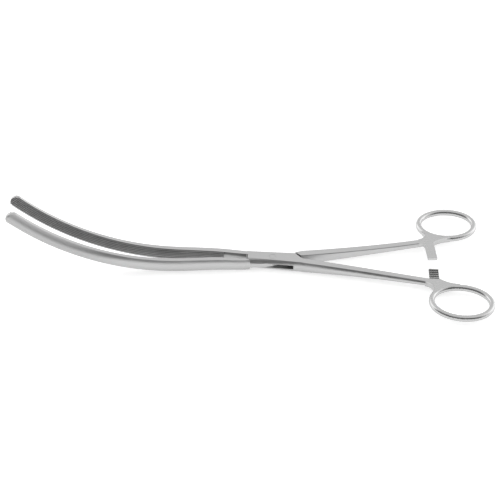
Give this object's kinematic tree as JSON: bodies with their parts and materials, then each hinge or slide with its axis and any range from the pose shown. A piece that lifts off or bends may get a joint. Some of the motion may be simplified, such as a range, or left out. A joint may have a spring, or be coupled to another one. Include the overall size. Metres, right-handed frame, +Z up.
{
  "type": "intestinal clamp",
  "caption": "Curved intestinal clamp with a box lock, long bowed jaws with lengthwise serrations, ratchet bars and oval finger rings.",
  "frame": {"origin": "on the pivot axis, at the flat underside of the box, which the clamp lies on", "axes": "+X towards the finger rings, -X towards the jaws, +Y towards the insert half's ring, +Z up along the pivot axis, the way the jaws curve"},
  "size_m": [0.25, 0.0895, 0.0399],
  "materials": {
    "box_half_steel": "satin",
    "insert_half_steel": "satin",
    "pin_steel": "ground flush, satin"
  },
  "bodies": {
    "box_side": {"box_half": "box_half_steel", "pivot_pin": "pin_steel"},
    "insert_side": {"insert_half": "insert_half_steel"}
  },
  "joints": [
    {"name": "box_lock", "type": "hinge", "parent": "box_side", "child": "insert_side", "pos_m": [0, 0, 0], "axis": [0, 0, 1], "range_deg": [-5.05, 16]}
  ]
}
